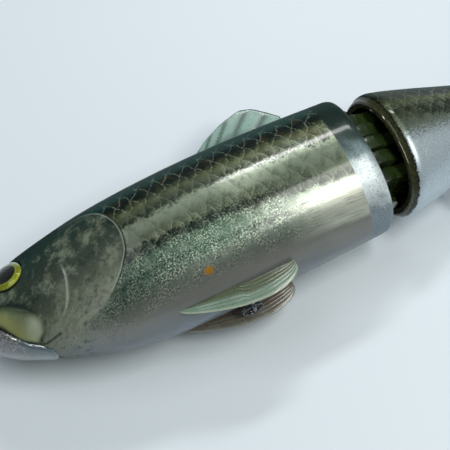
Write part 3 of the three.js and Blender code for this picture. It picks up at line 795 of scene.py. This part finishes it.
def shell_solid(outer, inner_sheet):
    """Closes a fine outer sheet over a coarse inner one taken from every few of its points."""
    rows, columns = outer.shape[:2]
    r, c = thinned(rows), thinned(columns)
    inner = inner_sheet[np.ix_(r, c)]
    start = rows * columns
    points = np.concatenate([outer.reshape(-1, 3), inner.reshape(-1, 3)])
    faces = [list(f) for f in grid_faces(rows, columns)]
    faces += [list(f) for f in grid_faces(len(r), len(c), start, flip=True)]
    fine = np.arange(start).reshape(rows, columns)
    coarse = np.arange(len(r) * len(c)).reshape(len(r), len(c)) + start
    for row, far in ((0, False), (-1, True)):
        for a, b in zip(range(len(c) - 1), range(1, len(c))):
            face = [*fine[row, c[a]:c[b] + 1][::-1], coarse[row, a], coarse[row, b]]
            faces.append(face[::-1] if far else face)
    for column, far in ((0, True), (-1, False)):
        for a, b in zip(range(len(r) - 1), range(1, len(r))):
            face = [*fine[r[a]:r[b] + 1, column][::-1], coarse[a, column], coarse[b, column]]
            faces.append(face[::-1] if far else face)
    return points, faces, (r, c)


def eye_place():
    """Centre of the left eye and the direction it looks in."""
    back, _, width = front_dims(EYE_X)
    look = np.array([-EYE_FORWARD, math.sin(EYE_ANGLE), math.cos(EYE_ANGLE)])
    return np.array([EYE_X, back * EYE_HIGH, width * EYE_WIDE]), look / np.linalg.norm(look)


def seat_eye(points):
    """Sinks a flat round seat for the eye, with a low bead round it."""
    centre, look = eye_place()
    off = points - centre
    height = off @ look
    radial = np.linalg.norm(off - height[..., None] * look, axis=2)
    facing = height > -6
    seat = smooth(EYE_R + 0.5, EYE_R + 0.05, radial) * facing
    bead = groove(radial - EYE_R - 0.7, 0.4) * facing * 0.25
    move = seat * (-2.15 - height) + bead
    return points + move[..., None] * look


def front_rows():
    """Rows of the front shell's outside, from the nose round the rear lip to the inside."""
    nose = NOSE_X + NOSE_ROUND * (1 - np.cos(np.linspace(math.radians(1.6), math.pi / 2, 42)))
    lip = SKIRT_X - SKIRT_ROUND + SKIRT_ROUND * np.sin(np.linspace(0, math.pi / 2, 10))
    stations = [*nose, *np.arange(-126.6, -83.9, 0.42), *np.arange(-83.4, -4.2, 0.75), *lip]
    rows = [(x, front_dims(x)) for x in stations]
    edge = section_at(FRONT_SECTIONS, SKIRT_X)
    return rows + [(SKIRT_X - back, edge - off) for back, off in
                   ((0.02, 1.3), (0.15, 1.85), (0.5, 2.2), (1.2, WALL))]


def rear_rows():
    """Rows of the rear shell's outside, from inside its rim to the rounded tail stalk."""
    rows = []
    lip = 0.9
    for turn in np.linspace(0, math.pi, 11):
        x = RIM_X + lip / 2 * (1 - math.sin(turn))
        rows.append((x, rear_dims(x) - lip * (1 + math.cos(turn)) / 2))
    for x in [*np.arange(7.2, 12, 0.25), *np.arange(12.4, 78, 0.75)]:
        rows.append((x, rear_dims(x) - 0.3 * groove(x - 7.7, 0.35) - 0.2 * smooth(8.9, 8.5, x)))
    for turn in np.linspace(0.1, 0.96, 9) * math.pi / 2:
        rows.append((78 + 2 * math.sin(turn), rear_dims(78) - 2 * (1 - math.cos(turn))))
    return rows


def inner_sheet_of(rows, angles, first_x, last_x):
    """The hollow side: the same rows, a wall's thickness in and held between two x values."""
    kept = []
    for x, dims in rows:
        x = min(max(x, first_x), last_x)
        kept.append((x, np.maximum(dims - WALL, 0.25 * dims)))
    return body_sheet(kept, angles)[0]


def add_shell(rear):
    """Both halves of one section's shell, meeting in the middle plane."""
    angles = even_angles(COLUMNS)
    rows = rear_rows() if rear else front_rows()
    plain, girth = body_sheet(rows, angles)
    if rear:
        outer, marks = plain, {}
        girth = girth * (REFERENCE_GIRTH / girth[:, -1:])
        inner = inner_sheet_of(rows[11:], angles, 8.0, 74.0)
        inner = np.concatenate([np.repeat(inner[:1], 11, 0), inner])
        inner[:11, :, 0] = np.linspace(7.2, 8.0, 11)[:, None]
    else:
        lift, marks = head_relief(plain[..., 0], plain[..., 1], girth)
        outer = seat_eye(plain + normals_of(plain) * lift[..., None])
        inner = inner_sheet_of(rows, angles, -134.0, SKIRT_X - 2.0)
    outer[:, [0, -1], 2] = 0
    points, faces, (r, c) = shell_solid(outer, inner)
    where = np.stack([plain[..., 0], girth, np.zeros_like(girth)], 2)
    section = "rear" if rear else "front"
    material = painted_foil(rear)
    inside_material = RESIN
    slots = [0] * len(faces)
    first_inner = len(grid_faces(*outer.shape[:2]))
    for k in range(first_inner, first_inner + len(grid_faces(len(r), len(c)))):
        slots[k] = 1
    faces = outward(points, faces)
    for word, side in (("left", 1), ("right", -1)):
        where[..., 2] = 40.0 * side
        fields = {"body": np.concatenate([where.reshape(-1, 3), where[np.ix_(r, c)].reshape(-1, 3)])}
        for key, values in marks.items():
            fields[key] = np.concatenate([values.ravel(), values[np.ix_(r, c)].ravel()])
        turned_faces = faces if side > 0 else [f[::-1] for f in faces]
        obj = make_mesh(f"{section}_skin_{word}", points * (1, 1, side), turned_faces,
                        f"{section}_section", [material, inside_material], rear, fields,
                        face_slots=slots)
        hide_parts(f"{section}_shell_{word}")


# ---------------------------------------------------------------- jaw, eyes and fins

def add_jaw():
    """A cup under the snout: its upper edge is the mouth line, and it runs out at the throat."""
    nose = NOSE_X + NOSE_ROUND * (1 - np.cos(np.linspace(math.radians(4), math.pi / 2, 36)))
    stations = [*nose, *np.arange(-126.6, -118.4, 0.4), JAW_END_X - 0.1]
    outer = np.zeros((len(stations), 97, 3))
    for k, x in enumerate(stations):
        dims = front_dims(x)
        share = min(abs(jaw_line_y(x)) / dims[1], 0.985)
        start = math.acos(-share ** (ROUNDNESS / 2))
        angles = np.linspace(start, 2 * math.pi - start, outer.shape[1])
        y, z = section_point(dims, angles)
        outer[k] = np.column_stack([np.full(len(angles), x), y, z])
    normal = np.cross(np.gradient(outer, axis=0), np.gradient(outer, axis=1))
    normal /= np.maximum(np.linalg.norm(normal, axis=2), 1e-9)[..., None]
    normal *= np.sign((normal * outer)[..., 1:].sum())
    run = np.concatenate([np.zeros((len(stations), 1)),
                          np.cumsum(np.linalg.norm(np.diff(outer, axis=1), axis=2), 1)], 1)
    rim = np.minimum(run, run[:, -1:] - run)
    lift = -0.85 + 1.25 * smooth(0, 0.9, rim)
    lift -= 0.25 * groove(rim - 1.6, 0.5)
    lift -= 0.9 * smooth(-119.4, JAW_END_X, outer[..., 0])
    shell = outer + normal * lift[..., None]
    inner = outer - normal * 1.15
    points, faces = solid_from_sheets(shell, inner)
    marks = np.stack([outer[..., 0], rim, outer[..., 2]], 2).reshape(-1, 3)
    obj = make_mesh("jaw_cup", points, outward(points, faces), "front_section",
                    [jaw_plastic()], marks={"body": np.concatenate([marks, marks])})
    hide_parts("lower_jaw")


def jaw_plastic():
    """Worn painted lip that turns into clear bluish plastic under the throat."""
    g = Graph("jaw_plastic")
    x, rim, _ = g.axes(g.vector("body"))
    where = g.node("TexCoord").outputs["Object"]
    fine = g.noise(where, 1300.0, 4.0, 0.7)
    cloud = g.noise(where, 260.0, 3.0)
    clear = g.step(-126.4, -124.6, g.add(x, g.mul(cloud, 1.2)))
    painted = g.tint(rgb("55565a"), "8f8e94", g.step(0.4, 0.62, fine))
    chips = g.mul(g.step(0.54, 0.6, fine), g.step(4.6, 0.4, rim))
    painted = g.tint(painted, "d6d4cc", chips)
    glassy = g.tint(rgb("48606c"), "7f98a4", cloud)
    g.set(Base_Color=g.mix(clear, painted, glassy), Transmission_Weight=g.mul(clear, 0.45))
    g.set(Roughness=g.add(0.14, g.mul(fine, 0.2)), IOR=1.49, Coat_Weight=0.8, Coat_Roughness=0.06)
    g.set(Metallic=g.mul(g.sub(1.0, clear), 0.35), Normal=g.bump(fine, 0.2, 0.00015))
    return g.material


def add_eyes():
    foil, clear = eye_foil(), eye_dome()
    centre, look = eye_place()

    def dome(r, lift):
        return 1.75 * (1 - (r / 5.55) ** 2) ** 0.6 + lift

    rings = [(0, -1.9), (5.2, -1.9), (5.38, -1.7), (5.38, -0.75)]
    rings += [(r, dome(r, -0.62) + 0.09 * math.exp(-((r - 4.75) / 0.16) ** 2)
               + 0.07 * math.exp(-((r - 3.55) / 0.14) ** 2)) for r in np.linspace(5.2, 0.15, 56)]
    rings.append((0, dome(0, -0.62)))
    glass = [(0, dome(0, -0.36))] + [(r, dome(r, -0.36)) for r in np.linspace(0.3, 5.1, 24)]
    glass += [(5.3, -0.1), (5.38, 0.0)] + [(r, dome(r, 0)) for r in np.linspace(5.34, 0.3, 24)]
    glass.append((0, dome(0, 0)))
    for word, side in (("left", 1), ("right", -1)):
        mirror = np.array([1, 1, side])
        for name, profile, material, node, slot in (
                ("eye_disc", rings, foil, "eye", "eye_foil"),
                ("eye_glass", glass, clear, "eye_lens", "eye_dome")):
            points, faces = turned(profile, centre, look, 72)
            off = points - centre
            radial = off - (off @ look)[:, None] * look
            angle = np.arctan2(radial @ np.cross(look, [0, 1, 0]), radial[:, 1])
            marks = {"iris": np.column_stack([np.linalg.norm(radial, axis=1), angle, angle * 0])}
            points = points * mirror
            obj = make_mesh(f"{name}_{word}", points, outward(points, faces), "front_section",
                            [material], marks=marks)
            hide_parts(f"{node}_{word}")


def blade(root, edge, thickness, rays, lengthwise=False, z=0.0, size=(110, 56), fan=1.0):
    """A fin between a root line and an edge line, ribbed by its rays: points, faces and marks."""
    root, edge = curve_through(root, 400), curve_through(edge, size[0])
    root = root[np.round(399 * np.linspace(0, 1, size[0]) ** fan).astype(int)]
    s = np.linspace(0, 1, size[0])[:, None]
    t = np.linspace(0, 1, size[1])[None, :]
    flat = root[:, None] * (1 - t[..., None]) + edge[:, None] * t[..., None]
    length = np.linalg.norm(np.diff(edge, axis=0), axis=1).sum()
    reach = np.linalg.norm(edge - root, axis=1)[:, None]
    rim = np.minimum(np.minimum(s, 1 - s) * length, (1 - t) * reach)
    phase = (t if lengthwise else s) * rays
    ray = np.clip(np.cos(2 * math.pi * phase) * 0.5 + 0.5, 0, 1) ** 3 * np.ones_like(s * t)
    ray *= smooth(0.0, 2.0, rim)
    half = thickness / 2 * (0.9 - 0.42 * t) + 0.07 * ray - 0.05
    half *= np.sqrt(1 - (1 - np.clip(rim / 0.8, 0.03, 1)) ** 2)
    border = smooth(0.75, 0.2, rim)
    sheets = [np.dstack([flat, z + side * half]) for side in (1, -1)]
    points, faces = solid_from_sheets(*sheets)
    marks = np.stack([ray, border * np.ones_like(ray), smooth(0.8, 0.15, t) * np.ones_like(ray)], 2)
    marks = marks.reshape(-1, 3)
    return points, outward(points, faces), {"blade": np.concatenate([marks, marks])}


PELVIC_Z = 9.8                      # distance of each pelvic fin from the middle


def add_fins():
    sea = clear_plastic("fin_sea_green", "88b0a4", "1f4a40", "16302a", 0.45)
    # The right fin is the same plastic as the left; the pale table showing through it and the shade over it
    # are painted into its beige tint.
    pale = clear_plastic("fin_beige_table_light", "7a766a", "6c6258", "8e948c", 0.2, root_colour="6a5c50")
    # Its pale edge colour is a painted highlight along the fin's rim.
    olive = clear_plastic("fin_olive_highlit_rim", "7c9684", "4c6a56", "a8b4a0", 0.3, root_colour="3e4a1a")
    dorsal = blade([(-52.6, 22.6), (-46, 22.6), (-38, 22.5), (-22.4, 22.6)],
                   [(-52.8, 25.4), (-44.5, 31.1), (-39, 33.9), (-34.5, 35.7), (-28, 37.3), (-25.6, 36.9),
                    (-22.9, 35.8), (-19.7, 33.0), (-17.1, 30.4), (-15.5, 28.5), (-16.3, 26.2)],
                   1.4, 6, fan=2.2)
    anal = blade([(46.3, -13.4), (52, -12.0), (60.6, -10.4)],
                 [(45.7, -16.2), (49, -20.2), (52, -22.3), (54, -21.8), (57, -18.0), (61.6, -13.2)], 1.4, 5)
    tail = blade([(78.6, 4.6), (78.2, 1.5), (78.2, -1.5), (78.6, -4.6)],
                 [(80.4, 8.4), (97, 18.8), (106, 23.8), (113.2, 26.0), (113.0, 21.0), (107.4, 12.0),
                  (104.5, 4.0), (104.3, -3.0), (106.5, -11.0), (111.4, -20.0), (112.0, -25.4),
                  (104, -22.8), (96, -18.2), (80.4, -8.6)], 1.6, 15, size=(170, 60))
    pelvic_lines = ([(-78.6, -23.6), (-76.4, -22.6), (-60, -22.9), (-56, -25.0), (-38.5, -25.1)],
                    [(-78.7, -23.9), (-76.8, -25.7), (-70, -28.6), (-60, -31.4), (-51, -32.3),
                     (-46, -31.8), (-41.2, -30.2), (-38.7, -27.8), (-38.5, -25.8)])
    made = [("dorsal_fin", dorsal, sea, False), ("anal_fin", anal, sea, True), ("tail_fin", tail, sea, True)]
    for word, side, material in (("left", 1, olive), ("right", -1, pale)):
        shape = blade(*pelvic_lines, 1.4, 6, lengthwise=True, z=PELVIC_Z * side)
        made.append((f"pelvic_fin_{word}", shape, material, False))
    for node, (points, faces, marks), material, rear in made:
        body = "rear_section" if rear else "front_section"
        obj = make_mesh(f"{node}_blade", points, faces, body, [material], rear, marks, sharp=60)
        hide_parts(node)


# ---------------------------------------------------------------- joint comb

PLATES, COMB_TOP, COMB_BOTTOM, PLATE_GAP = 7, 18.6, -19.6, 0.6
KNUCKLE_R, KNUCKLE_REACH, STRAP_SHARE, PIN_HOLE_R = 14.0, 20.6, 0.86, 1.8
BULKHEAD_FRONT, BULKHEAD_REAR = (-20.5, -16.5), (16.5, 20.5)


def knuckle_plate(top, bottom, bulkhead_x):
    """A plate with a round nose about the pin, a straight part, a pin hole and bevelled edges."""
    far = max(abs(top), abs(bottom))
    radius = KNUCKLE_R * math.sqrt(1 - (far / KNUCKLE_REACH) ** 2)
    half = radius * STRAP_SHARE
    way = math.copysign(1, bulkhead_x)
    meet = math.asin(STRAP_SHARE)
    outline = [(-way * radius * math.cos(a), radius * math.sin(a))
               for a in np.linspace(-math.pi + meet, math.pi - meet, 56)]
    back = np.linspace(way * radius * math.cos(meet), bulkhead_x, 8)[1:]
    outline += [(x, half) for x in back] + [(bulkhead_x, z) for z in np.linspace(half, -half, 12)[1:-1]]
    outline += [(x, -half) for x in back[::-1]]
    outline = np.array(outline)
    hole = outline / np.linalg.norm(outline, axis=1)[:, None]
    reach = np.linalg.norm(outline, axis=1)[:, None]
    bevel = 0.45
    inset = outline * (1 - bevel / reach)
    chamfer = outline * (1 - 0.3 * bevel / reach)
    rings = [(inset, bottom), (chamfer, bottom + 0.3 * bevel), (outline, bottom + bevel),
             (outline, top - bevel), (chamfer, top - 0.3 * bevel), (inset, top),
             (hole * (PIN_HOLE_R + 0.2), top), (hole * PIN_HOLE_R, top - 0.2),
             (hole * PIN_HOLE_R, bottom + 0.2), (hole * (PIN_HOLE_R + 0.2), bottom)]
    points = np.concatenate([np.column_stack([r[:, 0], np.full(len(r), y), r[:, 1]]) for r, y in rings])
    count = len(outline)
    faces = [list(f) for f in grid_faces(len(rings), count, wrap=True)]
    last = (len(rings) - 1) * count
    faces += [[last + k, last + (k + 1) % count, (k + 1) % count, k] for k in range(count)]
    return points, outward(points, faces)


def bulkhead(dims_at, low, high, clearance=0.3):
    """A slab across the hollow with softened edges."""
    rings = []
    for x, inset in ((low, 0.5), (low + 0.15, 0.15), (low + 0.5, 0), (high - 0.5, 0),
                     (high - 0.15, 0.15), (high, 0.5)):
        y, z = section_point(dims_at(x) - WALL - clearance - inset, np.linspace(0, 2 * math.pi, 97)[:-1])
        rings.append(np.column_stack([np.full(96, x), y, z]))
    faces = [list(f) for f in grid_faces(len(rings), 96, wrap=True)]
    faces += [list(range(96)), list(range((len(rings) - 1) * 96, len(rings) * 96))[::-1]]
    points = np.concatenate(rings)
    if np.dot(points[0] - points.mean(0), np.cross(points[97] - points[0], points[1] - points[0])) > 0:
        faces = [f[::-1] for f in faces]
    return points, outward(points, faces)


def add_joint_blocks():
    pitch = (COMB_TOP - COMB_BOTTOM + PLATE_GAP) / PLATES
    for node, body, ends, dims_at, owned, rear in (
            ("front_joint_block", "front_section", BULKHEAD_FRONT, front_dims, 0, False),
            ("rear_joint_block", "rear_section", BULKHEAD_REAR, rear_dims, 1, True)):
        parts = [bulkhead(dims_at, *ends)]
        for k in range(owned, PLATES, 2):
            top = COMB_TOP - k * pitch
            parts.append(knuckle_plate(top, top - pitch + PLATE_GAP, sum(ends) / 2))
        points, faces = joined(parts)
        obj = make_mesh(f"{node}_comb", points, faces, body, [RESIN], rear, sharp=40)
        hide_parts(node)


# ---------------------------------------------------------------- wire

WIRE_R, EYE_LOOP_R, TIE_LOOP_R, SPLIT_RING_R, HANGER_SUNK = 0.65, 2.3, 2.9, 3.6, 0.4
TIE_Y, TIE_OUT, RING_DROP = 0.6, 1.0, 0.6
BELLY_HANGER_X, REAR_HANGER_X = -55.5, 34.0
BELLY_RING_TILT, REAR_RING_TILT = math.radians(90), math.radians(78)
TURN = np.linspace(0, 2 * math.pi, 64, endpoint=False)


def wire_piece(name, node, parts, body, material, rear=False):
    points, faces = joined(parts)
    obj = make_mesh(name, points, faces, body, [material], rear, sharp=50)
    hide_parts(node)


def add_hanger(name, node, x, belly, body, material, rear):
    """Loop across the body with its shank up through the belly."""
    loop_y = -belly - EYE_LOOP_R + HANGER_SUNK
    loop = np.column_stack([np.full(64, x), loop_y + EYE_LOOP_R * np.cos(TURN), EYE_LOOP_R * np.sin(TURN)])
    shank = [(x, loop_y + EYE_LOOP_R + k, 0) for k in np.linspace(0, 3.6, 9)]
    head = turned([(0, 0), (1.8, 0), (2.0, 0.2), (2.0, 1.1), (1.8, 1.3), (0, 1.3)],
                  (x, -belly + WALL + 0.5, 0), (0, 1, 0), 32)
    wire_piece(name, node, [tube(loop, WIRE_R, closed=True), tube(shank, WIRE_R), head],
               body, material, rear)
    return loop_y


def add_split_ring(name, node, x, loop_y, tilt, body, material, rear):
    """Flat wire wound twice round, hanging from its loop and turned about X."""
    turns = np.linspace(0, 4 * math.pi, 150)
    across = 0.36 * np.tanh((turns - 2 * math.pi) * 1.6)
    path = np.column_stack([SPLIT_RING_R * np.sin(turns), SPLIT_RING_R * (np.cos(turns) - 1), across])
    c, s = math.cos(tilt), math.sin(tilt)
    y, z = path[:, 1] * c - path[:, 2] * s, path[:, 1] * s + path[:, 2] * c
    path = np.column_stack([path[:, 0] + x, y + loop_y - RING_DROP, z])
    wire_piece(name, node, [tube(path, 0.3, 12)], body, material, rear)


def add_wires():
    wire = metal("black_nickel_wire", "2a2c2e", "94989c", 0.1)
    for word, section, dims_at, x, tilt, rear in (
            ("belly", "front_section", front_dims, BELLY_HANGER_X, BELLY_RING_TILT, False),
            ("rear", "rear_section", rear_dims, REAR_HANGER_X, REAR_RING_TILT, True)):
        loop_y = add_hanger(f"{word}_hanger_wire", f"{word}_hook_hanger", x, dims_at(x)[1],
                            section, wire, rear)
        add_split_ring(f"{word}_ring_coil", f"{word}_split_ring", x, loop_y, tilt,
                       f"{word}_ring", wire, rear)
    middle = NOSE_X - TIE_LOOP_R - TIE_OUT
    loop = np.column_stack([middle + TIE_LOOP_R * np.cos(TURN), TIE_Y + TIE_LOOP_R * np.sin(TURN), TURN * 0])
    shank = [(x, TIE_Y, 0) for x in np.linspace(NOSE_X - TIE_OUT, -116.4, 24)]
    head = turned([(0, 0), (2.0, 0), (2.2, 0.2), (2.2, 1.3), (2.0, 1.5), (0, 1.5)],
                  (-117.6, TIE_Y, 0), (1, 0, 0), 32)
    wire_piece("line_tie_wire", "line_tie", [tube(loop, WIRE_R, closed=True), tube(shank, WIRE_R), head],
               "front_section", wire)


# ---------------------------------------------------------------- CAD nodes that stay

def finish_cad_nodes():
    steel = metal("pin_steel", "8a8d91", "c9cccf", 0.12, stretch=(1, 0.1, 1))
    lead = metal("cast_lead", "45484c", "7a7d82", 0.5, 500.0)
    for names, material in ((("hinge_pin", "tail_pin"), steel),
                            (("chest_ballast", "belly_ballast", "rear_ballast"), lead),
                            (("pin_plug_top", "pin_plug_bottom"), RESIN)):
        for name in names:
            mesh = frame["nodes"][name].data
            mesh.materials.clear()
            mesh.materials.append(material)


# ---------------------------------------------------------------- studio

def add_floor():
    mesh = bpy.data.meshes.new("floor")
    reach = 2.5
    mesh.from_pydata([(-reach, -reach, 0), (reach, -reach, 0), (reach, reach, 0), (-reach, reach, 0)],
                     [], [(0, 1, 2, 3)])
    g = Graph("pale_table")
    cloud = g.noise(g.node("TexCoord").outputs["Object"], 3.0, 3.0)
    g.set(Base_Color=g.tint(rgb("d9e3ee"), "e0e9f2", cloud), Roughness=0.55)
    mesh.materials.append(g.material)
    floor = bpy.data.objects.new("floor", mesh)
    bpy.context.scene.collection.objects.link(floor)


def add_light(name, toward, distance, size, power, target, colour=(1, 1, 1)):
    """A soft rectangular lamp in a direction from the target, its width along X."""
    lamp = bpy.data.lights.new(name, "AREA")
    lamp.shape = "RECTANGLE"
    lamp.size, lamp.size_y = size
    lamp.energy = power
    lamp.color = colour
    obj = bpy.data.objects.new(name, lamp)
    way = Vector(toward).normalized()
    obj.location = target + way * distance
    obj.rotation_mode = "QUATERNION"
    along = (Vector((1, 0, 0)) - way * way.x).normalized()
    obj.rotation_quaternion = Matrix((along, way.cross(along), way)).transposed().to_quaternion()
    bpy.context.scene.collection.objects.link(obj)


def add_studio():
    """A dim room, a long strip lamp past the back and a broad one past the belly."""
    target = HINGE + Vector((-0.05, 0, 0))
    add_light("strip_back", (0.36, 0.60, 0.74), 0.9, (0.36, 0.075), 2.4, target)
    add_light("soft_tail_side", (0.34, -0.24, 0.92), 0.9, (0.24, 0.56), 5.0, target, (1, 1, 0.94))
    add_light("soft_top", (-0.3, 0.35, 1.0), 1.6, (0.7, 0.7), 3.9, target, (0.93, 0.97, 1))
    world = bpy.data.worlds.new("studio")
    world.use_nodes = True
    tree = world.node_tree
    background = tree.nodes["Background"]
    coords = tree.nodes.new("ShaderNodeTexCoord")
    split = tree.nodes.new("ShaderNodeSeparateXYZ")
    ramp = tree.nodes.new("ShaderNodeValToRGB")
    tree.links.new(coords.outputs["Generated"], split.inputs[0])
    tree.links.new(split.outputs[2], ramp.inputs[0])
    tree.links.new(ramp.outputs[0], background.inputs[0])
    ramp.color_ramp.elements[0].color = (0.38, 0.42, 0.42, 1)
    ramp.color_ramp.elements[1].color = (0.13, 0.15, 0.14, 1)
    background.inputs[1].default_value = 0.55
    bpy.context.scene.world = world
    bpy.context.scene.view_settings.view_transform = "Standard"


def add_camera():
    """The photograph's viewing angle: high over the belly side, looking at the front section."""
    azimuth, elevation, roll = math.radians(-21.8), math.radians(66.1), math.radians(-4.67)
    distance, field = 0.3, math.radians(28.2)
    back = Vector((math.sin(azimuth) * math.cos(elevation),
                   -math.cos(azimuth) * math.cos(elevation), math.sin(elevation)))
    right = Vector((math.cos(azimuth), math.sin(azimuth), 0))
    up = back.cross(right)
    turned_right = right * math.cos(roll) + up * math.sin(roll)
    turned_up = up * math.cos(roll) - right * math.sin(roll)
    camera = bpy.data.cameras.new("camera")
    camera.angle = field
    camera.clip_start = 0.01
    obj = bpy.data.objects.new("camera", camera)
    target = HINGE + Vector((-51.1, -0.14, 0)) * MM
    obj.matrix_world = Matrix.Translation(target + back * distance) @ Matrix(
        (turned_right, turned_up, back)).transposed().to_4x4()
    bpy.context.scene.collection.objects.link(obj)
    bpy.context.scene.camera = obj


add_camera()
RESIN = bare_resin()
add_shell(rear=False)
add_shell(rear=True)
add_jaw()
add_eyes()
add_fins()
add_joint_blocks()
add_wires()
finish_cad_nodes()
add_floor()
add_studio()
